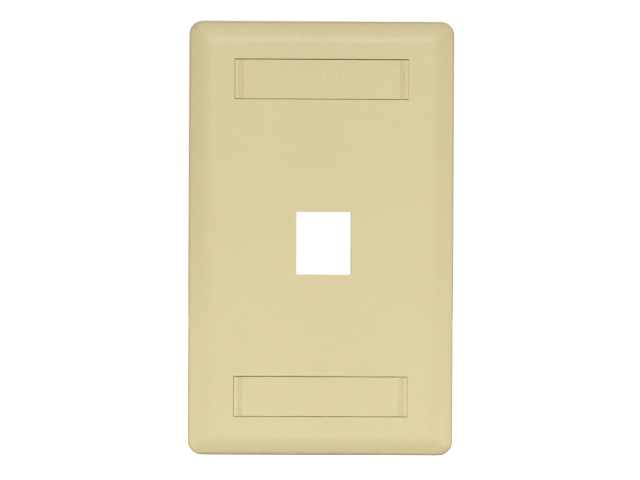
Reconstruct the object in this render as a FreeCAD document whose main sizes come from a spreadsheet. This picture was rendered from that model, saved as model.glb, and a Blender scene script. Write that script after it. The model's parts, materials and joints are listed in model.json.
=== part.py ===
import FreeCAD, Part
import os
import math
import Sketcher

# Single-gang wall plate for one snap-in jack, with two flush snap-in covers over its mounting
# screws, and a captive washer on each screw.
# Millimetres. +X right, +Y into the wall, +Z up. The wall is the plane Y = 0 and the front face is
# at Y = -plate_depth. The origin is the centre of the plate's outline on the wall plane.
# "Height" below means the distance out from the wall, along -Y.

DIMENSIONS = dict(
    # outer shell
    plate_width=69.85, plate_height=114.3, plate_depth=6.35,
    corner_radius=3.55, corner_closing=1.5, mitre_radius=0.45,
    edge_radius=2.2, slope_radius=19.9, crest_radius=6.2,
    face_thickness=2.2, rim_wall=2.0, cavity_corner=0.8,
    # cover pockets and the tubs below them
    screw_spacing=83.34, pocket_width=45.69, pocket_height=10.635,
    pocket_corner=0.2, pocket_edge_round=0.08, seat_depth=1.65,
    ledge_width=1.2, tub_wall=1.5, tub_corner=1.0, tub_inner_corner=0.6,
    floor_height=2.2, floor_thickness=1.6, screw_hole_radius=2.1,
    latch_window_low=2.45, latch_window_high=3.75, latch_window_span=5.0,
    block_setback=1.0,  # from the front face back to the front of the tub and port blocks
    # jack port
    port_width=14.4, port_height=16.55, port_offset=0.7, port_drop=1.4, port_corner=0.25,
    port_wall=1.6, port_rear=3.45, latch_rise=3.0, latch_bar=1.7,
    latch_bar_length=2.2, lug_cut=1.6, port_edge_round=0.2,
    # ribs and ejector marks on the back
    rib_thickness=1.1, rib_height=2.9, rib_offset=14.5, rib_sink=0.8, rib_end_gap=0.6,
    ejector_radius=2.5, ejector_depth=0.2,
    # snap-in covers
    cover_width=45.57, cover_height=10.35, cover_thickness=1.6, cover_corner=0.14,
    cover_round=0.08, cover_land=0.85, groove_width=1.45, groove_depth=0.3,
    leg_thickness=1.1, leg_span=4.2, leg_length=2.2, leg_gap=0.45, leg_tip_taper=0.25,
    barb_reach=0.35, barb_rise=0.9, barb_peak=0.62,  # the peak is a fraction of the rise
    hollow_start=4.9, hollow_leg_gap=2.2, hollow_margin=2.0, hollow_corner=0.5,
    hollow_depth=0.5, cover_sag=0.03, upper_cover_shift=0.02,
    # mounting screws, number 6 by one inch
    thread_radius=1.7526, neck_radius=1.27, head_radius=3.43, head_height=2.05,
    screw_length=25.4, tip_chamfer=0.55, slot_width=1.15, slot_depth=1.15,
    cross_width=1.3, cross_length=3.6, neck_end=0.06, thread_start=0.3,
    # captive washers on the screws' necks
    washer_inner=1.35, washer_outer=3.6, washer_thickness=0.45, washer_gap=0.05,
)

OVERRUN = 1.0       # how far a cut runs on past the solid
OVERLAP = 0.5       # how far outlines reach into or past their neighbours
HAIR = 0.01         # small lap that keeps two faces from coinciding
PICK_MARGIN = 0.1   # slack round an opening when its edges are picked

SIDES = (("upper", 1), ("lower", -1))

# X, Z of the ejector marks' centres
EJECTOR_MARKS = ((-23, 22), (23, 22), (-23, -22), (23, -22), (-23, 0), (23, 0), (0, 25), (0, -26))

# Screw head from its top: fraction of head_radius, fraction of head_height below the top
HEAD_OUTLINE = ((0, 0), (0.74, 0), (0.92, 0.22), (1, 0.55))


# ---------------------------------------------------------------- driving dimensions
class Length:
    """A length that knows both its number and the sheet expression that makes it."""

    def __init__(self, value, text):
        self.value, self.text = float(value), text

    @staticmethod
    def of(other):
        if isinstance(other, Length):
            return other
        return Length(other, "%.9g" % other if other >= 0 else "(%.9g)" % other)

    def __add__(self, other):
        other = Length.of(other)
        return Length(self.value + other.value, "(%s + %s)" % (self.text, other.text))

    def __sub__(self, other):
        other = Length.of(other)
        return Length(self.value - other.value, "(%s - %s)" % (self.text, other.text))

    def __mul__(self, other):
        other = Length.of(other)
        return Length(self.value * other.value, "(%s * %s)" % (self.text, other.text))

    def __truediv__(self, other):
        other = Length.of(other)
        return Length(self.value / other.value, "(%s / %s)" % (self.text, other.text))

    def __neg__(self):
        return Length(-self.value, "(0 - %s)" % self.text)


def larger(first, second):
    first, second = Length.of(first), Length.of(second)
    return Length(max(first.value, second.value), "max(%s; %s)" % (first.text, second.text))


def span(centre, half):
    """The low and high ends of an interval about a centre."""
    centre = Length.of(centre)
    return centre - half, centre + half


class Sizes:
    """Holds every sheet dimension as a Length, under its alias."""


doc = FreeCAD.newDocument("wall_plate")
sheet = doc.addObject("Spreadsheet::Sheet", "Sheet")
size = Sizes()
for row, (alias, number) in enumerate(DIMENSIONS.items(), start=1):
    sheet.set("A%d" % row, alias)
    sheet.set("B%d" % row, repr(number))
    sheet.setAlias("B%d" % row, alias)
    setattr(size, alias, Length(number, "Sheet." + alias))
doc.recompute()


# ---------------------------------------------------------------- sketch helpers
def new_body(label):
    body = doc.addObject("PartDesign::Body", label)
    body.Label = label
    return body


def new_sketch(body, name, role="XZ_Plane", height=None):
    """A sketch on an origin plane, moved by height along the plane's normal.

    On XZ_Plane its axes are X and Z and its normal points to the front (-Y).
    """
    sketch = body.newObject("Sketcher::SketchObject", name)
    plane = [item for item in body.Origin.OriginFeatures if item.Role == role][0]
    sketch.AttachmentSupport = [(plane, "")]
    sketch.MapMode = "FlatFace"
    if height is not None:
        height = Length.of(height)
        sketch.AttachmentOffset = FreeCAD.Placement(
            FreeCAD.Vector(0, 0, height.value), FreeCAD.Rotation())
        sketch.setExpression("AttachmentOffset.Base.z", height.text)
    return sketch


def pin(sketch, kind, geo, point, length):
    """Fixes one coordinate of a sketch point, or a radius, to a dimension of the sheet."""
    length = Length.of(length)
    target = (geo,) if kind == "Radius" else (geo, point)
    index = sketch.addConstraint(Sketcher.Constraint(kind, *target, length.value))
    name = "c%d" % index
    sketch.renameConstraint(index, name)
    sketch.setExpression("Constraints." + name, length.text)


def polygon(sketch, points):
    """A closed outline of straight lines through the given points."""
    points = [(Length.of(x), Length.of(y)) for x, y in points]
    corners = [FreeCAD.Vector(x.value, y.value, 0) for x, y in points]
    count = len(points)
    base = sketch.GeometryCount
    for i in range(count):
        sketch.addGeometry(Part.LineSegment(corners[i], corners[(i + 1) % count]), False)
    for i in range(count):
        sketch.addConstraint(
            Sketcher.Constraint("Coincident", base + i, 2, base + (i + 1) % count, 1))
    for i, (x, y) in enumerate(points):
        pin(sketch, "DistanceX", base + i, 1, x)
        pin(sketch, "DistanceY", base + i, 1, y)


def profile(sketch, points):
    """A polygon on the XY plane, its points given as X and height."""
    polygon(sketch, [(x, -height) for x, height in points])


def rectangle(sketch, x0, x1, y0, y1):
    polygon(sketch, [(x0, y0), (x1, y0), (x1, y1), (x0, y1)])


def rounded_rectangle(sketch, x0, x1, y0, y1, radius):
    """A closed outline of four lines and four equal corner arcs."""
    Vector = FreeCAD.Vector
    left, right, low, high, r = (Length.of(item).value for item in (x0, x1, y0, y1, radius))
    lines = [(Vector(left + r, low, 0), Vector(right - r, low, 0)),
             (Vector(right, low + r, 0), Vector(right, high - r, 0)),
             (Vector(right - r, high, 0), Vector(left + r, high, 0)),
             (Vector(left, high - r, 0), Vector(left, low + r, 0))]
    arcs = [(Vector(right - r, low + r, 0), -math.pi / 2, 0),
            (Vector(right - r, high - r, 0), 0, math.pi / 2),
            (Vector(left + r, high - r, 0), math.pi / 2, math.pi),
            (Vector(left + r, low + r, 0), math.pi, 1.5 * math.pi)]
    line = sketch.GeometryCount
    arc = line + 4
    for start, end in lines:
        sketch.addGeometry(Part.LineSegment(start, end), False)
    for centre, start, end in arcs:
        circle_of_arc = Part.Circle(centre, Vector(0, 0, 1), r)
        sketch.addGeometry(Part.ArcOfCircle(circle_of_arc, start, end), False)
    for i in range(4):
        sketch.addConstraint(Sketcher.Constraint("Tangent", line + i, 2, arc + i, 1))
        sketch.addConstraint(Sketcher.Constraint("Tangent", arc + i, 2, line + (i + 1) % 4, 1))
    for i, direction in ((0, "Horizontal"), (2, "Horizontal"), (1, "Vertical"), (3, "Vertical")):
        sketch.addConstraint(Sketcher.Constraint(direction, line + i))
    for i in (1, 2, 3):
        sketch.addConstraint(Sketcher.Constraint("Equal", arc, arc + i))
    pin(sketch, "Radius", arc, 0, radius)
    pin(sketch, "DistanceX", line + 3, 1, x0)
    pin(sketch, "DistanceX", line + 1, 1, x1)
    pin(sketch, "DistanceY", line, 1, y0)
    pin(sketch, "DistanceY", line + 2, 1, y1)


def circle(sketch, x, y, radius):
    x, y, radius = Length.of(x), Length.of(y), Length.of(radius)
    centre = FreeCAD.Vector(x.value, y.value, 0)
    geo = sketch.addGeometry(
        Part.Circle(centre, FreeCAD.Vector(0, 0, 1), radius.value), False)
    pin(sketch, "Radius", geo, 0, radius)
    pin(sketch, "DistanceX", geo, 3, x)
    pin(sketch, "DistanceY", geo, 3, y)


# ---------------------------------------------------------------- feature helpers
def volume(body):
    doc.recompute()
    return body.Shape.Volume if body.Tip is not None and not body.Shape.isNull() else 0.0


def require_change(body, name, before, sign):
    """Stops the build if a feature has not grown (+1) or shrunk (-1) the body."""
    if not sign * (volume(body) - before) > 1e-6:
        raise RuntimeError(name + " did not change the solid as it should")


def bind(feature, prop, length):
    length = Length.of(length)
    setattr(feature, prop, length.value)
    feature.setExpression(prop, length.text)


def extrude(body, kind, name, sketch, length, reverse, sign):
    before = volume(body)
    feature = body.newObject("PartDesign::" + kind, name)
    feature.Profile = sketch
    bind(feature, "Length", length)
    feature.Reversed = reverse
    require_change(body, name, before, sign)


def pad(body, name, sketch, length, reverse=False):
    """Adds along the sketch's normal, unless reversed."""
    extrude(body, "Pad", name, sketch, length, reverse, 1)


def pocket(body, name, sketch, length, reverse=False):
    """Cuts against the sketch's normal: from the front towards the wall, unless reversed."""
    extrude(body, "Pocket", name, sketch, length, reverse, -1)


def loft(body, kind, name, sketches, ruled, sign):
    before = volume(body)
    feature = body.newObject("PartDesign::" + kind, name)
    feature.Profile = sketches[0]
    feature.Sections = sketches[1:]
    feature.Ruled = ruled
    require_change(body, name, before, sign)


def round_edges(body, name, radius, pick):
    """Fillets the edges of the body that the pick function accepts."""
    doc.recompute()
    base = body.Tip
    edges = ["Edge%d" % i for i, edge in enumerate(base.Shape.Edges, start=1) if pick(edge)]
    if not edges:
        raise RuntimeError(name + " found no edge")
    feature = body.newObject("PartDesign::Fillet", name)
    feature.Base = (base, edges)
    bind(feature, "Radius", radius)
    doc.recompute()
    if not feature.isValid():
        raise RuntimeError(name + " failed")


def on_face(edge):
    """Whether an edge lies at the height of the front face."""
    return all(abs(-vertex.Y - face.value) < 1e-3 for vertex in edge.Vertexes)


def within(low, high, limits):
    return low > limits[0].value - PICK_MARGIN and high < limits[1].value + PICK_MARGIN


# ---------------------------------------------------------------- shared places
face = size.plate_depth
face_back = face - size.face_thickness
half_width, half_height = size.plate_width / 2, size.plate_height / 2

screw_z = size.screw_spacing / 2
floor_bottom = size.floor_height - size.floor_thickness
pocket_half_width, pocket_half_height = size.pocket_width / 2, size.pocket_height / 2
tub_half_width = pocket_half_width + size.tub_wall
tub_half_height = pocket_half_height + size.tub_wall
tub_inner_end = pocket_half_width - size.ledge_width

port_left, port_right = span(size.port_offset, size.port_width / 2)
port_bottom, port_top = span(-size.port_drop, size.port_height / 2)

# The pillow edge in section: a tight edge arc, a nearly straight slope and a broad crest arc,
# tangent in line. Columns: radius, angle from the face at the arc's start, angles of its stations.
PILLOW_ARCS = (
    (size.edge_radius, 86.0, (74.0, 62.0, 50.0, 38.0)),
    (size.slope_radius, 38.0, (35.4, 32.7, 30.0)),
    (size.crest_radius, 30.0, (24.0, 18.0, 12.0, 6.0, 0.0)),
)


def arc_step(radius, start, end):
    """How far an arc goes inwards and outwards from the wall between two angles in degrees."""
    start, end = math.radians(start), math.radians(end)
    return (radius * (math.sin(start) - math.sin(end)),
            radius * (math.cos(end) - math.cos(start)))


# ---------------------------------------------------------------- faceplate
def pillow_stations():
    """Inset from the outline and height of each loft section, from the lip to the flat face."""
    height = face
    for radius, start, angles in PILLOW_ARCS:
        height = height - arc_step(radius, start, angles[-1])[1]
    inset = Length.of(0.0)
    stations = [(inset, height)]
    for radius, start, angles in PILLOW_ARCS:
        for angle in angles:
            inward, outward = arc_step(radius, start, angle)
            stations.append((inset + inward, height + outward))
        inset, height = stations[-1]
    return stations


def plate_section(plate, name, inset, height, corner):
    sketch = new_sketch(plate, name, height=height)
    rounded_rectangle(sketch, *span(0, half_width - inset), *span(0, half_height - inset), corner)
    return sketch


def add_shell(plate):
    """The outer form with its hollow back."""
    stations = pillow_stations()
    lip = stations[0][1]
    bevel_inset = stations[-1][0]

    # lip: the plate's side wall, standing straight out of the wall
    sketch = new_sketch(plate, "lip_outline")
    rounded_rectangle(sketch, *span(0, half_width), *span(0, half_height), size.corner_radius)
    pad(plate, "lip_pad", sketch, lip)

    # pillow: lofted to the flat face, its corners closing from round to a soft mitre
    sections = []
    for i, (inset, height) in enumerate(stations):
        corner = larger(size.corner_radius - inset * size.corner_closing, size.mitre_radius)
        sections.append(plate_section(plate, "pillow_%02d" % i, inset, height, corner))
    loft(plate, "AdditiveLoft", "pillow_loft", sections, ruled=False, sign=1)

    # cavity: follows the outer form at about the rim's thickness; columns: inset, height
    levels = (
        (size.rim_wall, Length.of(-HAIR)),
        (size.rim_wall + 0.1, lip - 0.3),
        (size.rim_wall + 1.3, lip + 1.0),
        (bevel_inset - 0.6, face_back),
    )
    sections = []
    for i, (inset, height) in enumerate(levels):
        corner = larger(size.corner_radius - inset, size.cavity_corner)
        sections.append(plate_section(plate, "cavity_%02d" % i, inset, height, corner))
    loft(plate, "SubtractiveLoft", "cavity_loft", sections, ruled=True, sign=-1)


def add_tubs(plate):
    """The blocks behind the face that hold the covers and carry the screw heads."""
    sketch = new_sketch(plate, "tub_outline", height=floor_bottom)
    for _, side in SIDES:
        rounded_rectangle(sketch, *span(0, tub_half_width),
                          *span(screw_z * side, tub_half_height), size.tub_corner)
    pad(plate, "tub_pad", sketch, face - floor_bottom - size.block_setback)


def add_ribs(plate):
    """Two long ribs between the tubs, and four short ones from the tubs to the rim."""
    sketch = new_sketch(plate, "rib_outline", height=face_back - size.rib_height)
    near = screw_z + tub_half_height - OVERLAP
    far = half_height - size.rim_wall - size.rib_end_gap
    for side in (1, -1):
        rib = span(size.rib_offset * side, size.rib_thickness / 2)
        rectangle(sketch, *rib, *span(0, screw_z - tub_half_height + OVERLAP))
        rectangle(sketch, *rib, near, far)
        rectangle(sketch, *rib, -far, -near)
    pad(plate, "rib_pad", sketch, size.rib_height + size.rib_sink)


def add_port(plate):
    """A box round the jack opening that reaches behind the wall plane, and the cuts in it."""
    wall = size.port_wall
    latch_top = port_top + size.latch_rise
    sketch = new_sketch(plate, "port_outline", height=-size.port_rear)
    rectangle(sketch, port_left - wall, port_right + wall, port_bottom - wall, latch_top + wall)
    pad(plate, "port_pad", sketch, face - size.block_setback + size.port_rear)

    sketch = new_sketch(plate, "port_opening", height=face)
    rounded_rectangle(sketch, port_left, port_right, port_bottom, port_top, size.port_corner)
    pocket(plate, "port_cut", sketch, face + size.port_rear + OVERRUN)

    # latch room above the opening, behind the face, open to the back below the latch bar
    sketch = new_sketch(plate, "latch_room", height=face_back)
    rectangle(sketch, port_left, port_right, port_top - OVERLAP, latch_top)
    pocket(plate, "latch_room_cut", sketch, face_back + size.port_rear - size.latch_bar_length)
    sketch = new_sketch(plate, "latch_mouth",
                        height=size.latch_bar_length - size.port_rear + HAIR)
    rectangle(sketch, port_left, port_right, port_top - OVERLAP, latch_top - size.latch_bar)
    pocket(plate, "latch_mouth_cut", sketch, size.latch_bar_length + OVERRUN)

    # the bottom wall reaches less far back than the side walls, so the jack's fixed lug
    # hooks behind it
    sketch = new_sketch(plate, "lug_notch", height=-size.port_rear)
    rectangle(sketch, port_left, port_right, port_bottom - wall - OVERLAP, port_bottom + OVERLAP)
    pocket(plate, "lug_notch_cut", sketch, size.lug_cut, reverse=True)


def cut_pockets(plate):
    """The cover seats and tubs, with the screw holes and latch windows that open from them."""
    for word, side in SIDES:
        centre = screw_z * side
        sketch = new_sketch(plate, word + "_seat", height=face)
        rounded_rectangle(sketch, *span(0, pocket_half_width), *span(centre, pocket_half_height),
                          size.pocket_corner)
        pocket(plate, word + "_seat_cut", sketch, size.seat_depth)
        # the narrower tub over the screw head leaves a ledge under the cover
        sketch = new_sketch(plate, word + "_tub", height=face)
        rounded_rectangle(sketch, *span(0, tub_inner_end),
                          *span(centre, pocket_half_height - size.ledge_width),
                          size.tub_inner_corner)
        pocket(plate, word + "_tub_cut", sketch, face - size.floor_height)

    sketch = new_sketch(plate, "screw_holes", height=face)
    for _, side in SIDES:
        circle(sketch, 0, screw_z * side, size.screw_hole_radius)
    pocket(plate, "screw_hole_cut", sketch, face + OVERRUN)

    # windows in the tubs' end walls, where the covers' barbs spring out; this sketch's axes
    # are Y and Z, and the cut runs along +X through both ends
    sketch = new_sketch(plate, "latch_windows", role="YZ_Plane",
                        height=-tub_half_width - OVERRUN)
    for _, side in SIDES:
        rectangle(sketch, -size.latch_window_high, -size.latch_window_low,
                  *span(screw_z * side, size.latch_window_span / 2))
    pocket(plate, "latch_window_cut", sketch, tub_half_width * 2 + 2 * OVERRUN, reverse=True)


def mark_ejectors(plate):
    """Shallow round marks in the back of the face."""
    sketch = new_sketch(plate, "ejector_marks", height=face_back)
    for x, z in EJECTOR_MARKS:
        circle(sketch, x, z, size.ejector_radius)
    pocket(plate, "ejector_mark_cut", sketch, size.ejector_depth, reverse=True)


def round_openings(plate):
    """Softened rims of the port opening and of the two pockets on the front face."""
    def in_port(edge):
        box = edge.BoundBox
        return (on_face(edge) and within(box.XMin, box.XMax, (port_left, port_right))
                and within(box.ZMin, box.ZMax, (port_bottom, port_top)))

    def in_pocket(edge):
        box = edge.BoundBox
        return (on_face(edge) and within(box.XMin, box.XMax, span(0, pocket_half_width))
                and any(within(box.ZMin, box.ZMax, span(screw_z * side, pocket_half_height))
                        for _, side in SIDES))

    round_edges(plate, "port_edge", size.port_edge_round, in_port)
    round_edges(plate, "pocket_edge", size.pocket_edge_round, in_pocket)


def make_faceplate():
    plate = new_body("faceplate")
    add_shell(plate)
    add_tubs(plate)
    add_ribs(plate)
    add_port(plate)
    cut_pockets(plate)
    mark_ejectors(plate)
    round_openings(plate)
    return plate


# ---------------------------------------------------------------- covers
def make_cover(word, side):
    """A flush cover, modelled round its own centre, with a groove and a snap leg at each end."""
    label = word + "_cover"
    body = new_body(label)
    half_x, half_z = size.cover_width / 2, size.cover_height / 2
    back = face - size.cover_thickness
    sketch = new_sketch(body, label + "_outline", height=back)
    rounded_rectangle(sketch, *span(0, half_x), *span(0, half_z), size.cover_corner)
    pad(body, label + "_panel", sketch, size.cover_thickness)

    # snap legs reach back along the tub's end walls; each barb is a small wedge on the outer side
    outer = tub_inner_end - size.leg_gap
    inner = outer - size.leg_thickness
    tip = back - size.leg_length
    leg = [(inner, back), (outer, back), (outer, tip + size.barb_rise),
           (outer + size.barb_reach, tip + size.barb_rise * size.barb_peak),
           (outer - size.leg_tip_taper, tip), (inner, tip)]
    sketch = new_sketch(body, label + "_legs", role="XY_Plane", height=-size.leg_span / 2)
    for end in (1, -1):
        profile(sketch, [(x * end, height) for x, height in leg])
    pad(body, label + "_leg_pad", sketch, size.leg_span)

    # a groove from top to bottom near each end of the front
    groove_outer = half_x - size.cover_land
    groove_inner = groove_outer - size.groove_width
    sketch = new_sketch(body, label + "_grooves", height=face)
    for limits in ((groove_inner, groove_outer), (-groove_outer, -groove_inner)):
        rectangle(sketch, *limits, *span(0, half_z + OVERLAP))
    pocket(body, label + "_groove_cut", sketch, size.groove_depth)

    # two shallow hollows in the back, between the legs
    hollow_end = inner - size.hollow_leg_gap
    sketch = new_sketch(body, label + "_hollow", height=back)
    for limits in ((-hollow_end, -size.hollow_start), (size.hollow_start, hollow_end)):
        rounded_rectangle(sketch, *limits, *span(0, half_z - size.hollow_margin),
                          size.hollow_corner)
    pocket(body, label + "_hollow_cut", sketch, size.hollow_depth, reverse=True)

    round_edges(body, label + "_edge", size.cover_round, on_face)
    body.setExpression("Placement.Base.z", (screw_z * side - size.cover_sag).text)
    if side > 0:
        body.setExpression("Placement.Base.x", size.upper_cover_shift.text)
    return body


# ---------------------------------------------------------------- mounting screws
def make_screw(word, side):
    """A pan-head screw: head on the tub floor, thin neck, and a plain shank for the thread."""
    label = word + "_mounting_screw"
    body = new_body(label)
    seat = size.floor_height
    top = seat + size.head_height
    tip = seat - size.screw_length
    outline = [(size.head_radius * across, top - size.head_height * down)
               for across, down in HEAD_OUTLINE]
    outline += [
        (size.head_radius, seat), (size.neck_radius, seat), (size.neck_radius, size.neck_end),
        (size.thread_radius, -size.thread_start), (size.thread_radius, tip + size.tip_chamfer),
        (size.thread_radius - size.tip_chamfer, tip), (0, tip)]
    sketch = new_sketch(body, label + "_profile", role="XY_Plane")
    profile(sketch, outline)
    turned = body.newObject("PartDesign::Revolution", label + "_turned")
    turned.Profile = sketch
    turned.ReferenceAxis = (sketch, ["V_Axis"])
    turned.Angle = 360.0
    doc.recompute()

    # combination recess: one straight slot along X, with a shorter cross arm along Z
    sketch = new_sketch(body, label + "_slot", height=top)
    rectangle(sketch, *span(0, size.head_radius + OVERRUN), *span(0, size.slot_width / 2))
    pocket(body, label + "_slot_cut", sketch, size.slot_depth)
    sketch = new_sketch(body, label + "_cross", height=top)
    rectangle(sketch, *span(0, size.cross_width / 2), *span(0, size.cross_length / 2))
    pocket(body, label + "_cross_cut", sketch, size.slot_depth)
    body.setExpression("Placement.Base.z", (screw_z * side).text)
    return body


# ---------------------------------------------------------------- captive washers
def make_washer(word, side):
    """A flat ring round the screw's neck, just behind the tub floor."""
    label = word + "_retaining_washer"
    body = new_body(label)
    sketch = new_sketch(body, label + "_ring", height=floor_bottom - size.washer_gap)
    circle(sketch, 0, 0, size.washer_outer)
    circle(sketch, 0, 0, size.washer_inner)
    pad(body, label + "_disc", sketch, size.washer_thickness, reverse=True)
    body.setExpression("Placement.Base.z", (screw_z * side).text)
    return body


# ---------------------------------------------------------------- build, check and export
parts = [make_faceplate()]
for make in (make_cover, make_screw, make_washer):
    for word, side in SIDES:
        parts.append(make(word, side))

doc.recompute()
for item in doc.Objects:
    if any(state in item.State for state in ("Invalid", "Error")):
        raise RuntimeError("%s is in state %s" % (item.Label, item.State))
for body in parts:
    shape = body.Shape
    if shape.isNull() or not shape.isValid() or len(shape.Solids) != 1:
        raise RuntimeError("%s has no single valid solid" % body.Label)
os.makedirs("parts", exist_ok=True)
for body in parts:
    body.Shape.exportStep(os.path.join("parts", body.Label + ".step"))
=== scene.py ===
"""An ivory wall faceplate with a jack opening, two snap-in covers and two mounting screws.

The plate stands upright: +X right, +Y into the wall, +Z up, its centre at the origin. "Height" is
the distance out from the wall plane, so a point at height h stands at Y = -h. Meshes are built in
millimetres, where the boolean solver works best, and scaled to metres when they are finished.
"""
import bpy
import bmesh
import json
import math
from mathutils import Matrix, Vector

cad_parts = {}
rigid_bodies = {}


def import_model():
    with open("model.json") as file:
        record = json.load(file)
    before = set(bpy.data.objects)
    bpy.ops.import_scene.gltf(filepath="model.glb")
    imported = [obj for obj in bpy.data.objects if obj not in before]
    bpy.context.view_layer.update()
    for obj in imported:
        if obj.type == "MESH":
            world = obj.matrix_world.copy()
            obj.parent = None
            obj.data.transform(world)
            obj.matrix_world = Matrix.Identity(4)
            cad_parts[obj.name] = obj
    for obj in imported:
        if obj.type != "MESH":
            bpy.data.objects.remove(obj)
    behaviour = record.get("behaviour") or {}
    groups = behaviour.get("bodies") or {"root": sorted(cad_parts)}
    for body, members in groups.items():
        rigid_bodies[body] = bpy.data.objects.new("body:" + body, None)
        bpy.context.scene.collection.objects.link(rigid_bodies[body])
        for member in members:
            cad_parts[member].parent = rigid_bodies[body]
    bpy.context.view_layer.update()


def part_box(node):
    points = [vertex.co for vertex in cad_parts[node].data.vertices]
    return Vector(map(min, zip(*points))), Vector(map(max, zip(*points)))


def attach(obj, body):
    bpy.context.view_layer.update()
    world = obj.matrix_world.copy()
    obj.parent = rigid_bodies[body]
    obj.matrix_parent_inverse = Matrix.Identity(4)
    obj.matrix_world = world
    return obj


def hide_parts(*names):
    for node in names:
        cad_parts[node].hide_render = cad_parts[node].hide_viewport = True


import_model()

# ------------------------------------------------------------------------------------------------
# Shared dimensions, in millimetres
# ------------------------------------------------------------------------------------------------
METRES_PER_MM = 0.001
box_low, box_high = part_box("faceplate")
HALF_W = (box_high.x - box_low.x) * 500.0       # half the width in metres, as millimetres
HALF_H = (box_high.z - box_low.z) * 500.0
FACE = 6.35                                     # height of the flat front face
CEILING = FACE - 2.2                            # height of the hollow back's ceiling
SCREW_Z = 83.34 / 2.0                           # the upper screw's Z; the lower one mirrors it

# front edge of the plate, from the rim inwards: radius, slope from, slope to (degrees), steps
EDGE_ARCS = [(2.2, 86.0, 38.0, 8), (19.9, 38.0, 30.0, 5), (6.2, 30.0, 0.0, 12)]
CORNER, CORNER_MIN = 3.55, 0.45                 # corner radius of the outline, at foot and least

# jack opening
PORT_X, PORT_Z = 0.7, -1.4
PORT_HALF_W, PORT_HALF_H = 7.2, 8.275
PORT_BACK = -3.45                               # height of the port box's rear end
PORT_WALL = 1.6
LATCH_TOP = PORT_Z + PORT_HALF_H + 3.0
LATCH_LOW = PORT_Z + PORT_HALF_H - 0.9

# cover pockets
POCKET_HALF_W, POCKET_HALF_H = 22.845, 5.3175
POCKET_FLOOR = 2.2
TUB_HALF_W, TUB_HALF_H = POCKET_HALF_W + 1.5, POCKET_HALF_H + 1.5


def sine(degrees):
    return math.sin(math.radians(degrees))


def cosine(degrees):
    return math.cos(math.radians(degrees))


# ------------------------------------------------------------------------------------------------
# Solids
# ------------------------------------------------------------------------------------------------
def make_solid(name, verts, faces):
    """A linked mesh object whose normals point outwards."""
    mesh = bpy.data.meshes.new(name)
    mesh.from_pydata(verts, [], faces)
    mesh.validate()
    bm = bmesh.new()
    bm.from_mesh(mesh)
    bmesh.ops.recalc_face_normals(bm, faces=bm.faces)
    if bm.calc_volume(signed=True) < 0:
        bmesh.ops.reverse_faces(bm, faces=bm.faces)
    bm.to_mesh(mesh)
    bm.free()
    solid = bpy.data.objects.new(name, mesh)
    bpy.context.scene.collection.objects.link(solid)
    return solid


def stack(name, rings, closed=False):
    """A solid through rings of equal length, capped at both ends or closed on itself."""
    n = len(rings[0])
    faces = []
    for k in range(len(rings) if closed else len(rings) - 1):
        a, b = k * n, (k + 1) % len(rings) * n
        for i in range(n):
            j = (i + 1) % n
            faces.append((a + i, a + j, b + j, b + i))
    if not closed:
        faces.append(tuple(range(n - 1, -1, -1)))
        faces.append(tuple(range((len(rings) - 1) * n, len(rings) * n)))
    return make_solid(name, [point for ring in rings for point in ring], faces)


def rounded_ring(half_w, half_h, radius, cx, cz, height, corner_steps, x_steps=1, z_steps=1):
    """Points of a rounded rectangle at one height, anticlockwise seen from the front."""
    radius = max(min(radius, half_w - 1e-3, half_h - 1e-3), 1e-3)
    in_x, in_z = half_w - radius, half_h - radius
    corners = [(in_x, -in_z, -90.0), (in_x, in_z, 0.0), (-in_x, in_z, 90.0), (-in_x, -in_z, 180.0)]
    points = []
    for k, (x, z, start) in enumerate(corners):
        for i in range(corner_steps + 1):
            angle = start + 90.0 * i / corner_steps
            points.append((cx + x + radius * cosine(angle), -height,
                           cz + z + radius * sine(angle)))
        # the straight side that follows this corner, subdivided
        steps = z_steps if k % 2 == 0 else x_steps
        next_x, next_z, next_start = corners[(k + 1) % 4]
        x0, z0 = x + radius * cosine(start + 90.0), z + radius * sine(start + 90.0)
        x1, z1 = next_x + radius * cosine(next_start), next_z + radius * sine(next_start)
        for i in range(1, steps):
            t = i / steps
            points.append((cx + x0 + (x1 - x0) * t, -height, cz + z0 + (z1 - z0) * t))
    return points


def rounded_stack(name, half_w, half_h, radius, cx, cz, profile, corner_steps, min_radius=0.05):
    """A stack of rounded rectangles; profile is a list of (offset outwards, height)."""
    return stack(name, [rounded_ring(half_w + offset, half_h + offset,
                                     max(radius + offset, min_radius), cx, cz, h, corner_steps)
                        for offset, h in profile])


def block(name, x0, x1, z0, z1, h0, h1, radius):
    """A box whose edges along the height are rounded."""
    return rounded_stack(name, (x1 - x0) / 2, (z1 - z0) / 2, radius, (x0 + x1) / 2,
                         (z0 + z1) / 2, [(0, h0), (0, h1)], 3)


def turned_rings(cx, cz, profile, segments):
    """Circles about the Y direction; profile is a list of (radius, height)."""
    return [[(cx + radius * math.cos(2 * math.pi * i / segments), -h,
              cz + radius * math.sin(2 * math.pi * i / segments)) for i in range(segments)]
            for radius, h in profile]


def turned(name, cx, cz, profile, segments):
    return stack(name, turned_rings(cx, cz, profile, segments))


def prism(name, outline, z0, z1):
    """A prism along Z from an outline of (x, height) points."""
    return stack(name, [[(x, -h, z) for x, h in outline] for z in (z0, z1)])


def low_round(height, size, middle):
    """Profile of a rounded edge at a solid's low end."""
    return [(-size, height), (-middle, height + middle), (0.0, height + size)]


def front_round(radius, angles, way=1):
    """Profile of a rounded edge at the front face: way 1 for an opening's rim, -1 for a solid's."""
    return [(way * radius * (1 - sine(a)), FACE - radius * (1 - cosine(a))) for a in angles]


def bake(solid):
    """Applies an object's modifiers to its mesh."""
    depsgraph = bpy.context.evaluated_depsgraph_get()
    mesh = bpy.data.meshes.new_from_object(solid.evaluated_get(depsgraph))
    old = solid.data
    solid.modifiers.clear()
    solid.data = mesh
    mesh.name = solid.name
    bpy.data.meshes.remove(old)


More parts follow.
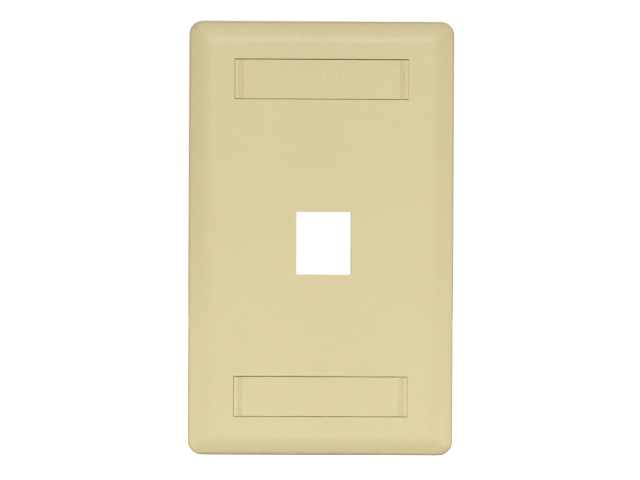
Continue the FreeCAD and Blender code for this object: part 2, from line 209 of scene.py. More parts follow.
def combine(solid, tools, operation):
    """Boolean of a solid with each of the tools in turn; the tools are used up."""
    for tool in tools:
        modifier = solid.modifiers.new("boolean", "BOOLEAN")
        modifier.operation = operation
        modifier.solver = "EXACT"
        modifier.object = tool
        bpy.context.view_layer.update()
        bake(solid)
        mesh = tool.data
        bpy.data.objects.remove(tool)
        bpy.data.meshes.remove(mesh)


def finish_mesh(solid, sharp_angle, join_distance=0.002):
    """Joins close points, scales to metres and shades smooth with sharp edges by angle."""
    bm = bmesh.new()
    bm.from_mesh(solid.data)
    bmesh.ops.remove_doubles(bm, verts=bm.verts, dist=join_distance)
    bmesh.ops.dissolve_degenerate(bm, edges=bm.edges, dist=join_distance * 0.5)
    bmesh.ops.recalc_face_normals(bm, faces=bm.faces)
    bmesh.ops.scale(bm, vec=(METRES_PER_MM,) * 3, verts=bm.verts)
    for face in bm.faces:
        face.smooth = True
    for edge in bm.edges:
        sharp = edge.is_manifold and edge.calc_face_angle(0.0) > math.radians(sharp_angle)
        edge.smooth = not sharp
    bm.to_mesh(solid.data)
    bm.free()
    # face-area weighting keeps the flat faces looking flat
    modifier = solid.modifiers.new("weighted_normal", "WEIGHTED_NORMAL")
    modifier.mode = "FACE_AREA"
    modifier.weight = 100
    modifier.keep_sharp = True
    bake(solid)


# ------------------------------------------------------------------------------------------------
# Faceplate: one moulding
# ------------------------------------------------------------------------------------------------
def outer_profile():
    """(inset, height) from the rim's foot to the flat face, and the inset where the face starts."""
    lip = FACE
    for radius, start, end, _ in EDGE_ARCS:
        lip -= radius * (cosine(end) - cosine(start))
    # the foot's round, then the upright lip
    points = [(0.18, 0.0), (0.103, 0.016), (0.043, 0.06), (0.008, 0.12), (0.0, 0.2),
              (0.0, lip * 0.55), (0.0, lip)]
    inset, height = 0.0, lip
    for radius, start, end, steps in EDGE_ARCS:
        for i in range(1, steps + 1):
            angle = start + (end - start) * i / steps
            points.append((inset + radius * (sine(start) - sine(angle)),
                           height + radius * (cosine(angle) - cosine(start))))
        inset += radius * (sine(start) - sine(end))
        height += radius * (cosine(end) - cosine(start))
    return points, inset


def build_shell():
    """The plate's outside and its hollow back."""
    outer, face_inset = outer_profile()
    # (inset, height) from the ceiling, round the inner corner, down to the rim's foot
    inner = [
        (face_inset + 0.1, CEILING), (face_inset - 0.45, CEILING - 0.035),
        (face_inset - 0.95, CEILING - 0.16), (4.55, CEILING - 0.42), (3.85, 3.27), (3.25, 2.88),
        (2.75, 2.42), (2.4, 1.95), (2.2, 1.5), (2.1, 1.05), (2.05, 0.5), (2.02, 0.14),
        (2.0, 0.1), (1.96, 0.03), (1.88, 0.0),
    ]
    rings = []
    # corner_loss: how fast the corner radius shrinks with the inset
    for profile, corner_loss, least in ((inner, 1.0, 0.9), (outer, 1.5, CORNER_MIN)):
        for inset, h in profile:
            corner = max(CORNER - corner_loss * inset, least)
            rings.append(rounded_ring(HALF_W - inset, HALF_H - inset, corner, 0, 0, h,
                                      corner_steps=10, x_steps=15, z_steps=26))
    return stack("faceplate_moulding", rings)


def rear_additions():
    """Tubs behind the cover pockets, the port box and the ribs, each flared at the ceiling."""
    adds = []
    for side in (1, -1):
        profile = low_round(0.6, 0.15, 0.045) + [
            (0.06, CEILING - 0.3), (0.16, CEILING - 0.1), (0.32, CEILING + 0.05),
            (0.32, CEILING + 1.2)]
        adds.append(rounded_stack("tub", TUB_HALF_W, TUB_HALF_H, 1.0, 0, side * SCREW_Z,
                                  profile, 6))

    z0, z1 = PORT_Z - PORT_HALF_H - PORT_WALL, LATCH_TOP + PORT_WALL
    profile = low_round(PORT_BACK, 0.15, 0.045) + [
        (0.04, CEILING - 0.3), (0.14, CEILING - 0.1), (0.3, CEILING + 0.05), (0.3, CEILING + 1.25)]
    adds.append(rounded_stack("port_box", PORT_HALF_W + PORT_WALL, (z1 - z0) / 2, 0.5,
                              PORT_X, (z0 + z1) / 2, profile, 5))

    profile = low_round(CEILING - 2.9, 0.12, 0.035) + [
        (0.05, CEILING - 0.25), (0.12, CEILING - 0.08), (0.26, CEILING + 0.04),
        (0.26, CEILING + 0.5)]
    # on each side one long rib between the tubs, and two short ones from the tubs to the rim
    spans = [(-(SCREW_Z - TUB_HALF_H) - 0.5, SCREW_Z - TUB_HALF_H + 0.5)]
    for end in (1, -1):
        spans.append(sorted(((SCREW_Z + TUB_HALF_H - 0.5) * end, (HALF_H - 3.0) * end)))
    for side in (1, -1):
        for z0, z1 in spans:
            adds.append(rounded_stack("rib", 0.55, (z1 - z0) / 2, 0.12, 14.5 * side,
                                      (z0 + z1) / 2, profile, 3))
    return adds


def port_cuts():
    """The jack opening with its rounded front rim, and the room for the jack's latch and lug."""
    rim = 0.2
    profile = [(rim + 0.6, FACE + 0.7), (rim - 0.004, FACE + 0.004)]
    profile += front_round(rim, (8, 22, 38, 54, 72, 90))
    profile += [(0.0, PORT_BACK + 0.2), (0.06, PORT_BACK + 0.06), (0.2, PORT_BACK - 0.002),
                (0.5, PORT_BACK - 0.4)]
    left, right, bottom = PORT_X - PORT_HALF_W, PORT_X + PORT_HALF_W, PORT_Z - PORT_HALF_H
    return [
        rounded_stack("port_cut", PORT_HALF_W, PORT_HALF_H, 0.3, PORT_X, PORT_Z, profile, 5),
        # room for the latch above the opening, and its mouth under the latch bar
        block("latch_room", left, right, LATCH_LOW, LATCH_TOP, PORT_BACK + 2.2, CEILING, 0.25),
        block("latch_mouth", left, right, LATCH_LOW, LATCH_TOP - 1.7,
              PORT_BACK - 0.5, PORT_BACK + 2.6, 0.25),
        # the bottom wall stops short, so that the jack's fixed lug hooks behind it
        block("lug_notch", left, right, bottom - 2.2, bottom + 0.6,
              PORT_BACK - 0.5, PORT_BACK + 1.6, 0.02),
    ]


def pocket_cuts(side):
    """One cover pocket, its screw hole and the two windows for the cover's barbs."""
    cz = side * SCREW_Z
    rim = 0.08
    profile = [(rim + 0.6, FACE + 0.7), (rim - 0.003, FACE + 0.003)]
    profile += front_round(rim, (10, 26, 44, 62, 90))
    # the seat under the cover, then the tub down to its floor
    profile += [
        (0.0, FACE - 1.55), (-0.03, FACE - 1.62), (-0.1, FACE - 1.65), (-1.08, FACE - 1.65),
        (-1.17, FACE - 1.69), (-1.2, FACE - 1.78), (-1.23, POCKET_FLOOR + 0.4),
        (-1.28, POCKET_FLOOR + 0.12), (-1.42, POCKET_FLOOR + 0.02), (-1.6, POCKET_FLOOR)]
    cuts = [rounded_stack("pocket", POCKET_HALF_W, POCKET_HALF_H, 0.2, 0, cz, profile, 6,
                          min_radius=0.2)]
    # the hole's edges are broken at both ends
    hole = [(2.9, POCKET_FLOOR + 0.6), (2.25, POCKET_FLOOR + 0.003), (2.13, POCKET_FLOOR - 0.1),
            (2.1, POCKET_FLOOR - 0.2), (2.1, 0.75), (2.14, 0.68), (2.22, 0.597), (2.7, 0.1)]
    cuts.append(turned("hole", 0, cz, hole, 56))
    for end in (1, -1):
        x0, x1 = sorted((21.0 * end, 25.6 * end))
        cuts.append(block("window", x0, x1, cz - 2.5, cz + 2.5, 2.45, 3.75, 0.02))
    return cuts


def ejector_marks():
    """Shallow round dents in the ceiling."""
    centres = [(-23, 22), (23, 22), (-23, -22), (23, -22), (-23, 0), (23, 0), (0, 25), (0, -26)]
    profile = [(2.5, CEILING - 0.8), (2.5, CEILING + 0.12), (2.44, CEILING + 0.18),
               (2.36, CEILING + 0.2)]
    return [turned("ejector", x, z, profile, 40) for x, z in centres]


def build_faceplate():
    shell = build_shell()
    combine(shell, rear_additions(), "UNION")
    combine(shell, port_cuts() + pocket_cuts(1) + pocket_cuts(-1) + ejector_marks(), "DIFFERENCE")
    return shell


# ------------------------------------------------------------------------------------------------
# Snap-in cover
# ------------------------------------------------------------------------------------------------
# by side: half width, half height, distance below the pocket's centre. Each cover leaves a little
# more room above it than below
COVER_SIZES = {1: (22.8, 5.1275, 0.04), -1: (22.79, 5.1585, 0.019)}
COVER_BACK = FACE - 1.6
LEG_OUTER, LEG_INNER = 21.195, 20.095           # distances of a leg's two faces from the middle
LEG_TIP = COVER_BACK - 2.2
LEG_HALF_Z = 2.1
GROOVE_W, GROOVE_MARGIN, GROOVE_DEPTH, GROOVE_STEPS = 1.45, 0.85, 0.3, 14


def cover_leg(end, cz):
    """A snap leg with a small barb on its outer side."""
    outline = [
        (LEG_INNER - 0.28, COVER_BACK + 0.5), (LEG_INNER - 0.28, COVER_BACK),
        (LEG_INNER - 0.1, COVER_BACK - 0.08), (LEG_INNER, COVER_BACK - 0.28),
        (LEG_INNER, LEG_TIP + 0.15), (LEG_INNER + 0.15, LEG_TIP),
        (LEG_OUTER - 0.3, LEG_TIP), (LEG_OUTER - 0.12, LEG_TIP + 0.08),
        (LEG_OUTER + 0.31, LEG_TIP + 0.5), (LEG_OUTER + 0.35, LEG_TIP + 0.56),
        (LEG_OUTER + 0.33, LEG_TIP + 0.64), (LEG_OUTER + 0.05, LEG_TIP + 0.86),
        (LEG_OUTER, LEG_TIP + 0.93), (LEG_OUTER, COVER_BACK - 0.2),
        (LEG_OUTER + 0.06, COVER_BACK - 0.06), (LEG_OUTER + 0.2, COVER_BACK),
        (LEG_OUTER + 0.2, COVER_BACK + 0.5),
    ]
    return prism("leg", [(x * end, h) for x, h in outline], cz - LEG_HALF_Z, cz + LEG_HALF_Z)


def cover_groove(end, half_w, half_h, cz):
    """The groove band near one end of the front, its edges and its floor's corners rounded."""
    near, far = half_w - GROOVE_MARGIN - GROOVE_W, half_w - GROOVE_MARGIN
    middle, half = (near + far) / 2, (far - near) / 2
    outline = [(middle - half - 0.25, FACE + 0.5), (middle - half - 0.06, FACE + 0.004)]
    for i in range(GROOVE_STEPS + 1):
        t = -1.0 + 2.0 * i / GROOVE_STEPS
        swell = (0.5 + 0.5 * math.cos(math.pi * t)) ** 0.8
        outline.append((middle + half * t, FACE - 0.02 - (GROOVE_DEPTH - 0.02) * swell))
    outline += [(middle + half + 0.06, FACE + 0.004), (middle + half + 0.25, FACE + 0.5)]
    return prism("groove", [(x * end, h) for x, h in outline],
                 cz - half_h - 0.6, cz + half_h + 0.6)


def build_cover(name, side):
    half_w, half_h, below = COVER_SIZES[side]
    cz = side * SCREW_Z - below
    edge = 0.08
    profile = low_round(COVER_BACK, 0.12, 0.035) + [(0.0, FACE - edge)]
    profile += front_round(edge, (72, 54, 38, 22, 8, 0), way=-1)
    panel = rounded_stack(name, half_w, half_h, 0.14, 0, cz, profile, 6, min_radius=0.06)
    combine(panel, [cover_leg(end, cz) for end in (1, -1)], "UNION")

    cuts = [cover_groove(end, half_w, half_h, cz) for end in (1, -1)]
    # two shallow hollows in the back, either side of the middle
    hollow = [(0.1, COVER_BACK - 0.4), (0.02, COVER_BACK - 0.001), (-0.03, COVER_BACK + 0.08),
              (-0.05, COVER_BACK + 0.4), (-0.12, COVER_BACK + 0.48), (-0.22, COVER_BACK + 0.5)]
    for x0, x1 in ((-LEG_INNER + 2.2, -4.9), (4.9, LEG_INNER - 2.2)):
        cuts.append(rounded_stack("hollow", (x1 - x0) / 2, half_h - 2.0, 0.5, (x0 + x1) / 2, cz,
                                  hollow, 5))
    combine(panel, cuts, "DIFFERENCE")

    # each cover sits a touch to the right, and the lower one a touch higher at its right end
    for vertex in panel.data.vertices:
        vertex.co.x += 0.02
        if side < 0:
            vertex.co.z += 0.006 + 0.0007 * vertex.co.x
    return panel


# ------------------------------------------------------------------------------------------------
# Mounting screw: turned blank, helical thread, combination recess
# ------------------------------------------------------------------------------------------------
SEAT = POCKET_FLOOR                             # height of the underside of the head
HEAD_TOP = SEAT + 2.05
HEAD_RADIUS = 3.43
SCREW_TIP = SEAT - 25.4
THREAD_MAJOR, THREAD_ROOT = 1.7526, 1.27        # radii
THREAD_PITCH = 25.4 / 32.0
THREAD_START = 0.36                             # Y, so just behind the wall plane
THREAD_STEPS = 40                               # per turn


def screw_blank(name, cz):
    """The blank without its thread, from the tip up to the crown."""
    profile = [
        (0.35, SCREW_TIP), (0.95, SCREW_TIP + 0.02), (1.12, SCREW_TIP + 0.1),
        (THREAD_ROOT + 0.015, SCREW_TIP + 0.42), (THREAD_ROOT + 0.015, -0.42),
        (THREAD_ROOT, -0.3), (THREAD_ROOT, SEAT - 0.12), (THREAD_ROOT + 0.05, SEAT - 0.04),
        (THREAD_ROOT + 0.14, SEAT), (HEAD_RADIUS - 0.14, SEAT), (HEAD_RADIUS - 0.04, SEAT + 0.04),
        (HEAD_RADIUS, SEAT + 0.14), (HEAD_RADIUS, SEAT + 0.75),
    ]
    for angle in (14, 30, 46, 60, 72, 81):
        profile.append((HEAD_RADIUS - 1.05 + 1.05 * cosine(angle),
                        SEAT + 0.75 + 1.12 * sine(angle)))
    profile += [(1.9, HEAD_TOP - 0.13), (1.3, HEAD_TOP - 0.06), (0.65, HEAD_TOP - 0.015),
                (0.2, HEAD_TOP)]
    return turned(name, 0, cz, profile, 64)


def thread_ridge(cz):
    """A swept truncated triangle whose height runs out at both ends."""
    turns = (abs(SCREW_TIP) - 0.62 - 0.34) / THREAD_PITCH
    run = turns * THREAD_PITCH
    steps = int(turns * THREAD_STEPS)
    base_width, crest_width = THREAD_PITCH * 0.9, THREAD_PITCH * 0.14
    foot = THREAD_ROOT - 0.06
    sections = []
    for i in range(steps + 1):
        turn = i / THREAD_STEPS
        angle = 2 * math.pi * turn + 0.037
        y = (THREAD_START + THREAD_PITCH * 0.5
             + turn * THREAD_PITCH * (run - THREAD_PITCH) / run)
        fade = max(min(1.0, i / (THREAD_STEPS * 0.85), (steps - i) / (THREAD_STEPS * 1.2)), 0.02)
        crest = THREAD_ROOT + (THREAD_MAJOR - THREAD_ROOT) * fade
        base_w = base_width * (0.35 + 0.65 * fade)
        crest_w = max(crest_width * fade, 0.02)
        sections.append([
            (radius * math.cos(angle), y + dy, cz + radius * math.sin(angle))
            for radius, dy in ((foot, -base_w / 2), (foot, base_w / 2),
                               (crest, crest_w / 2), (crest, -crest_w / 2))])
    return stack("ridge", sections)


def recess_tools(cz):
    """A straight slot and a tapering cross with a cone at its middle."""
    top = HEAD_TOP
    slot = [(0.25, top + 0.4), (0.02, top - 0.05), (0.0, top - 0.12), (-0.03, top - 0.95),
            (-0.08, top - 1.08), (-0.16, top - 1.15)]
    cross = [(0.15, top + 0.3), (0.0, top), (-0.08, top - 0.7), (-0.2, top - 1.3),
             (-0.3, top - 1.38)]
    cone = [(1.25, top + 0.3), (1.1, top), (0.85, top - 0.8), (0.55, top - 1.4),
            (0.2, top - 1.52)]
    return [rounded_stack("slot", 4.4, 0.575, 0.05, 0, cz, slot, 3),
            rounded_stack("cross", 0.55, 1.8, 0.12, 0, cz, cross, 4),
            turned("cone", 0, cz, cone, 32)]


def build_screw(name, side):
    cz = side * SCREW_Z
    screw = screw_blank(name, cz)
    combine(screw, [thread_ridge(cz)], "UNION")
    combine(screw, recess_tools(cz), "DIFFERENCE")
    return screw


def build_washer(name, side):
    """A flat ring round the shank, its edges broken."""
    low, high = 0.10, 0.55
    inner, outer = 1.35, 3.6
    section = [
        (inner + 0.05, low), (outer - 0.06, low), (outer - 0.018, low + 0.018),
        (outer, low + 0.06), (outer, high - 0.06), (outer - 0.018, high - 0.018),
        (outer - 0.06, high), (inner + 0.05, high), (inner + 0.015, high - 0.015),
        (inner, high - 0.05), (inner, low + 0.05), (inner + 0.015, low + 0.015),
    ]
    return stack(name, turned_rings(0, side * SCREW_Z, section, 64), closed=True)


# ------------------------------------------------------------------------------------------------
# Materials (shader lengths are in metres)
# ------------------------------------------------------------------------------------------------
class Shader:
    """Builds the node tree of a material or a world."""

    def __init__(self, owner):
        owner.use_nodes = True
        self.tree = owner.node_tree
        self.tree.nodes.clear()

    def feed(self, socket, value):
        """Links an output to an input socket, or sets the input's value."""
        if isinstance(value, bpy.types.NodeSocket):
            self.tree.links.new(value, socket)
        else:
            socket.default_value = value

    def add(self, kind, *operands, **values):
        """Adds a node. Operands feed its inputs by position. A name with "_" for spaces feeds
        the input of that name, or else sets the node's property."""
        node = self.tree.nodes.new(kind)
        for name, value in values.items():
            socket_name = name.replace("_", " ")
            if socket_name in node.inputs:
                self.feed(node.inputs[socket_name], value)
            else:
                setattr(node, name, value)
        for i, operand in enumerate(operands):
            self.feed(node.inputs[i], operand)
        return node

    def object_coordinates(self):
        return self.add("ShaderNodeTexCoord").outputs["Object"]

    def noise(self, vector, **values):
        return self.add("ShaderNodeTexNoise", Vector=vector, **values).outputs["Fac"]

    def map_range(self, value, **values):
        return self.add("ShaderNodeMapRange", Value=value, **values).outputs["Result"]

    def maths(self, operation, *operands):
        return self.add("ShaderNodeMath", *operands, operation=operation).outputs[0]

    def bump(self, **values):
        return self.add("ShaderNodeBump", **values).outputs["Normal"]

    def ramp(self, factor, stops):
        """A colour ramp; stops is a list of (position, (red, green, blue))."""
        node = self.add("ShaderNodeValToRGB", Fac=factor)
        elements = node.color_ramp.elements
        while len(elements) < len(stops):
            elements.new(1.0)
        for element, (position, colour) in zip(elements, stops):
            element.position = position
            element.color = (*colour, 1.0)
        return node.outputs["Color"]

    def mix_shaders(self, factor, first, second):
        return self.add("ShaderNodeMixShader", factor, first, second).outputs[0]

    def principled_surface(self, **values):
        bsdf = self.add("ShaderNodeBsdfPrincipled", **values)
        self.add("ShaderNodeOutputMaterial", Surface=bsdf.outputs[0])


def ivory(name, grain):
    """Ivory moulded plastic: faint cloudy colour, fine spark-eroded grain, soft sheen.

    grain: stops of (place, amount), the place from the plate's bottom end (0) to its top end (1).
    """
    grain_unit = 0.00003                        # depth of a grain of amount 1
    material = bpy.data.materials.new(name)
    shader = Shader(material)
    coordinates = shader.object_coordinates()

    # colour: slow clouds of the melt and a very fine pigment speckle
    cloud = shader.noise(coordinates, Scale=28.0, Detail=3.0, Roughness=0.55)
    speckle = shader.noise(coordinates, Scale=1850.0, Detail=2.0, Roughness=0.6)
    cloud_colour = shader.ramp(cloud, [(0.3, (0.683, 0.588, 0.314)), (0.7, (0.705, 0.610, 0.334))])
    speckle_colour = shader.ramp(speckle, [(0.30, (0.93, 0.925, 0.91)),
                                           (0.5, (0.998, 0.998, 0.998)),
                                           (0.7, (1.045, 1.045, 1.05))])

    # the strength of grain and speckle changes along Z
    axes = shader.add("ShaderNodeSeparateXYZ", coordinates)
    along = shader.map_range(axes.outputs["Z"], From_Min=-HALF_H / 1000.0,
                             From_Max=HALF_H / 1000.0)
    amount = shader.ramp(along, [(place, (value,) * 3) for place, value in grain])
    colour = shader.add("ShaderNodeMix", data_type="RGBA", blend_type="MULTIPLY")
    # a colour mix has its factor at input 0 and its two colours at inputs 6 and 7
    for i, source in ((0, amount), (6, cloud_colour), (7, speckle_colour)):
        shader.feed(colour.inputs[i], source)

    # grain: rounded pits and fine noise, on a broader swell
    pits = shader.add("ShaderNodeTexVoronoi", feature="SMOOTH_F1", Vector=coordinates,
                      Scale=2400.0, Smoothness=0.6)
    fine = shader.noise(coordinates, Scale=1500.0, Detail=3.0, Roughness=0.6)
    relief = shader.maths("ADD", pits.outputs["Distance"], fine)
    broad = shader.noise(coordinates, Scale=850.0, Detail=2.0, Roughness=0.55)
    relief = shader.maths("MULTIPLY_ADD", broad, 3.0, relief)
    depth = shader.maths("MULTIPLY", amount, grain_unit)
    normal = shader.bump(Strength=1.0, Height=relief, Distance=depth)

    # handling polishes broad patches
    handling = shader.noise(coordinates, Scale=60.0, Detail=4.0, Roughness=0.6)
    roughness = shader.map_range(handling, To_Min=0.36, To_Max=0.43)
    shader.principled_surface(
        Base_Color=colour.outputs[2], Normal=normal, Roughness=roughness,
        IOR=1.52, Specular_IOR_Level=0.5, Subsurface_Weight=0.12,
        Subsurface_Radius=(0.0012, 0.0008, 0.0004), Subsurface_Scale=0.6)
    return material


def zinc():
    """Zinc-plated steel with uneven tint and gloss."""
    material = bpy.data.materials.new("zinc_plated_steel")
    shader = Shader(material)
    coordinates = shader.object_coordinates()
    mottle = shader.noise(coordinates, Scale=700.0, Detail=4.0, Roughness=0.6)
    colour = shader.ramp(mottle, [(0.3, (0.50, 0.51, 0.53)), (0.6, (0.62, 0.63, 0.63)),
                                  (0.8, (0.66, 0.64, 0.58))])
    roughness = shader.map_range(mottle, To_Min=0.22, To_Max=0.42)
    # fine turning marks round the axis
    squeezed = shader.add("ShaderNodeMapping", Vector=coordinates, Scale=(400.0, 9000.0, 400.0))
    marks = shader.noise(squeezed.outputs["Vector"], Scale=1.0, Detail=2.0)
    normal = shader.bump(Strength=0.35, Distance=0.000006, Height=marks)
    shader.principled_surface(Base_Color=colour, Metallic=1.0, Roughness=roughness, Normal=normal)
    return material


def nylon():
    """Natural nylon, milky and slightly translucent."""
    material = bpy.data.materials.new("natural_nylon")
    shader = Shader(material)
    mottle = shader.noise(shader.object_coordinates(), Scale=900.0, Detail=3.0)
    colour = shader.ramp(mottle, [(0.3, (0.74, 0.73, 0.68)), (0.7, (0.80, 0.79, 0.74))])
    normal = shader.bump(Strength=0.4, Distance=0.00001, Height=mottle)
    shader.principled_surface(
        Base_Color=colour, Roughness=0.36, Normal=normal, Subsurface_Weight=0.35,
        Subsurface_Radius=(0.0015, 0.0014, 0.0012), Subsurface_Scale=0.6)
    return material


plate_material = ivory("ivory_plastic", [(0.0, 0.45), (0.12, 0.42), (0.25, 0.12), (0.7, 0.12),
                                         (0.85, 0.55), (1.0, 0.6)])
cover_material = ivory("ivory_plastic_cover", [(0.1, 0.28), (0.9, 0.82)])
zinc_material = zinc()
nylon_material = nylon()


# ------------------------------------------------------------------------------------------------
# Pieces in the frame
# ------------------------------------------------------------------------------------------------
def install(piece, node, body, material, sharp_angle=32.0):
    """Finishes a piece and puts it in the place of a CAD node."""
    finish_mesh(piece, sharp_angle)
    piece.data.materials.clear()
    piece.data.materials.append(material)
    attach(piece, body)
    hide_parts(node)


install(build_faceplate(), "faceplate", "plate", plate_material)
for word, side in (("upper", 1), ("lower", -1)):
    install(build_cover(word + "_cover_panel", side), word + "_cover", word + "_cover_body",
            cover_material)
    install(build_screw(word + "_threaded_screw", side), word + "_mounting_screw",
            word + "_screw_body", zinc_material, sharp_angle=38.0)
    install(build_washer(word + "_washer_ring", side), word + "_retaining_washer",
            word + "_screw_body", nylon_material)

# ------------------------------------------------------------------------------------------------
# World: white to the camera, soft directional fill to everything else. Metres from here on
# ------------------------------------------------------------------------------------------------
WHITE = (1.0, 1.0, 1.0, 1.0)
BASE_FILL = 0.0075
# parts of the room's light that grow towards a direction: direction, cosine where the part
# starts, cosine where it is full, strength added there
FILL_PARTS = [
    ((0, 0, 1), -1.0, 1.0, 0.132),
    ((0, -1, 0), -0.1, 0.3, 0.098),
    ((0, -1, 0), 0.0, 1.0, 0.041),
    ((0, 1, 0), 0.35, 1.0, 0.35),
]

scene = bpy.context.scene
scene.view_settings.view_transform = "Standard"
scene.view_settings.look = "None"
scene.view_settings.exposure = 0.0
scene.view_settings.gamma = 1.0


def build_world():
    world = bpy.data.worlds.new("studio")
    scene.world = world
    shader = Shader(world)
    backdrop = shader.add("ShaderNodeBackground", Color=WHITE, Strength=1.0)
    direction = shader.add("ShaderNodeTexCoord").outputs["Generated"]
    strength = BASE_FILL
    for axis, start, full, added in FILL_PARTS:
        dot = shader.add("ShaderNodeVectorMath", direction, axis, operation="DOT_PRODUCT")
        part = shader.map_range(dot.outputs["Value"], From_Min=start, From_Max=full,
                                To_Min=0.0, To_Max=added)
        strength = shader.maths("ADD", part, strength)
    fill = shader.add("ShaderNodeBackground", Color=WHITE, Strength=strength)
    is_camera = shader.add("ShaderNodeLightPath").outputs["Is Camera Ray"]
    mixed = shader.mix_shaders(is_camera, fill.outputs[0], backdrop.outputs[0])
    shader.add("ShaderNodeOutputWorld", Surface=mixed)


build_world()

# ------------------------------------------------------------------------------------------------
# Lights: soft boxes aimed at the plate's centre
# ------------------------------------------------------------------------------------------------
FAR_DISTANCE, FAR_SIZE = 1.6, 0.36
# name, degrees from straight ahead, degrees round from the top towards +X, power
FAR_BOXES = [
    ("key_above", 25, 0, 5.77),
    ("key_soft", 20, 0, 0.58),
    ("front_above", 14, 0, 0.67),
    ("front_low_right", 14, 135, 1.30),
    ("front_low", 14, 180, 1.71),
    ("front_low_left", 14, 225, 0.77),
    ("high_front", 48, 0, 2.13),
    ("high_steep", 68, 0, 2.72),
    ("low_steep", 68, 180, 1.92),
    ("left_front", 48, 270, 0.47),
    ("graze_high_right", 88, 45, 2.88),
    ("graze_right", 88, 90, 2.54),
    ("graze_low_left", 88, 225, 2.22),
    ("graze_left", 88, 270, 0.48),
]
# name, location, width, height, power
PLACED_BOXES = [
    ("near_low", (0.0, -0.30, -0.25), 0.3, 0.1, 0.276),
    ("near_left", (-0.22, -0.12, -0.12), 0.15, 0.15, 0.0792),
    ("near_right", (0.22, -0.12, -0.12), 0.15, 0.15, 0.1408),
    ("near_left_side", (-0.40, -0.03, -0.10), 0.25, 0.25, 0.0695),
    ("close_left", (-0.15, -0.01, -0.06), 0.08, 0.08, 0.0241),
    ("back_soft", (0.12, 1.5, 0.25), 0.9, 0.9, 7.0),
]


def soft_box(name, location, width, height, power):
    light = bpy.data.lights.new(name, "AREA")
    light.shape = "RECTANGLE"
    light.size, light.size_y = width, height
    light.energy = power
    box = bpy.data.objects.new(name, light)
    box.location = location
    towards_plate = Vector((0, 0, 0)) - Vector(location)
    box.rotation_euler = towards_plate.to_track_quat("-Z", "Y").to_euler()
    scene.collection.objects.link(box)


for name, off_axis, clock, power in FAR_BOXES:
    direction = Vector((sine(off_axis) * sine(clock), -cosine(off_axis),
                        sine(off_axis) * cosine(clock)))
    soft_box(name, direction * FAR_DISTANCE, FAR_SIZE, FAR_SIZE, power)
for row in PLACED_BOXES:
    soft_box(*row)


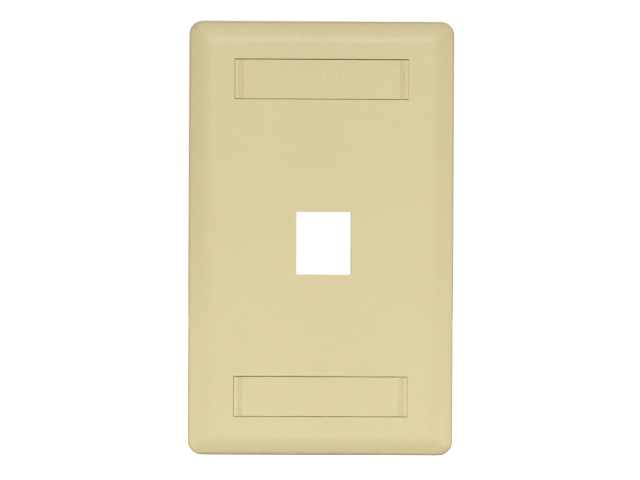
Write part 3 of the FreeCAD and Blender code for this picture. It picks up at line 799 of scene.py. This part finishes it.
# ------------------------------------------------------------------------------------------------
# Floor: pale, just under the plate's lower edge. Only the camera sees it; every other ray passes,
# so that the soft boxes below the plate's level reach the plate
# ------------------------------------------------------------------------------------------------
def floor_material():
    material = bpy.data.materials.new("studio_floor_pale")
    shader = Shader(material)
    diffuse = shader.add("ShaderNodeBsdfDiffuse", Color=(0.86, 0.86, 0.86, 1.0))
    # the floor glows brighter towards grazing view, where it meets the backdrop
    facing = shader.add("ShaderNodeLayerWeight", Blend=0.5).outputs["Facing"]
    strength = shader.map_range(facing, From_Min=0.85, From_Max=0.94, To_Min=0.40, To_Max=1.1)
    glow = shader.add("ShaderNodeEmission", Color=WHITE, Strength=strength)
    pale = shader.add("ShaderNodeAddShader", diffuse.outputs[0], glow.outputs[0])

    # painted contact shadow: a dark line painted on the floor where the plate's edge stands on it,
    # not cast by any lamp.
    # Its distance is measured from a line along X, and counts five times as fast behind the wall
    # plane
    half_length, line_front, behind_rate = 0.0300, 0.001, 5.0
    maths = shader.maths
    position = shader.add("ShaderNodeNewGeometry").outputs["Position"]
    axes = shader.add("ShaderNodeSeparateXYZ", position)
    x, y = axes.outputs["X"], axes.outputs["Y"]
    away_x = maths("MAXIMUM", maths("SUBTRACT", maths("ABSOLUTE", x), half_length), 0.0)
    away_y = maths(
        "ADD",
        maths("MAXIMUM", maths("MULTIPLY", maths("ADD", y, line_front), -1.0), 0.0),
        maths("MAXIMUM", maths("MULTIPLY", y, behind_rate), 0.0))
    away = maths("SQRT", maths("ADD", maths("MULTIPLY", away_x, away_x),
                               maths("MULTIPLY", away_y, away_y)))
    # mask of the painted contact shadow: full near the plate's foot, gone a few millimetres away
    painted_shadow_mask = shader.map_range(away, interpolation_type="SMOOTHSTEP", From_Min=0.0016,
                               From_Max=0.0034, To_Min=1.0, To_Max=0.0)
    # painted shadow: a dark brownish emission put where the plate's contact shadow falls on the
    # floor
    shade = shader.add("ShaderNodeEmission", Color=(0.10, 0.094, 0.05, 1.0))
    visible = shader.mix_shaders(painted_shadow_mask, pale.outputs[0], shade.outputs[0])

    clear = shader.add("ShaderNodeBsdfTransparent")
    is_camera = shader.add("ShaderNodeLightPath").outputs["Is Camera Ray"]
    mixed = shader.mix_shaders(is_camera, clear.outputs[0], visible)
    shader.add("ShaderNodeOutputMaterial", Surface=mixed)
    return material


def build_floor():
    mesh = bpy.data.meshes.new("studio_floor")
    bm = bmesh.new()
    bmesh.ops.create_circle(bm, cap_ends=True, radius=3.0, segments=96)
    bm.to_mesh(mesh)
    bm.free()
    floor = bpy.data.objects.new("studio_floor", mesh)
    floor.location = (0, 0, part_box("faceplate")[0].z - 0.00005)
    scene.collection.objects.link(floor)
    mesh.materials.append(floor_material())
    return floor


# the near and the grazing soft boxes skip the floor, so that they leave no pools or streaks on it
unlit = bpy.data.collections.new("floor_outside_some_boxes")
unlit.objects.link(build_floor())
unlit.collection_objects[0].light_linking.link_state = "EXCLUDE"
for thing in scene.objects:
    if thing.type == "LIGHT" and thing.name.startswith(("near_", "close_", "graze_")):
        thing.light_linking.receiver_collection = unlit

# ------------------------------------------------------------------------------------------------
# Camera: frontal, slightly below centre and to the left, with a slight roll
# ------------------------------------------------------------------------------------------------
DISTANCE = 0.80
VIEW_WIDTH = 0.1692032                          # width of the view at the plate
BELOW, SIDEWAYS, ROLL = math.radians(0.2), math.radians(-0.45), math.radians(0.27)
AIM = Vector((0.0, -0.0005, 0.0))

camera_data = bpy.data.cameras.new("camera")
camera = bpy.data.objects.new("camera", camera_data)
scene.collection.objects.link(camera)
scene.camera = camera
camera_data.sensor_width = 36.0
camera_data.lens = 36.0 * DISTANCE / VIEW_WIDTH
camera_data.clip_start, camera_data.clip_end = 0.05, 20.0
camera_data.shift_x, camera_data.shift_y = -0.00140625, -0.003203125    # parts of the view width
camera.location = AIM + DISTANCE * Vector((math.sin(SIDEWAYS) * math.cos(BELOW),
                                           -math.cos(SIDEWAYS) * math.cos(BELOW),
                                           -math.sin(BELOW)))
facing = (AIM - camera.location).to_track_quat("-Z", "Y")
camera.rotation_euler = (facing.to_matrix() @ Matrix.Rotation(ROLL, 3, "Z")).to_euler()
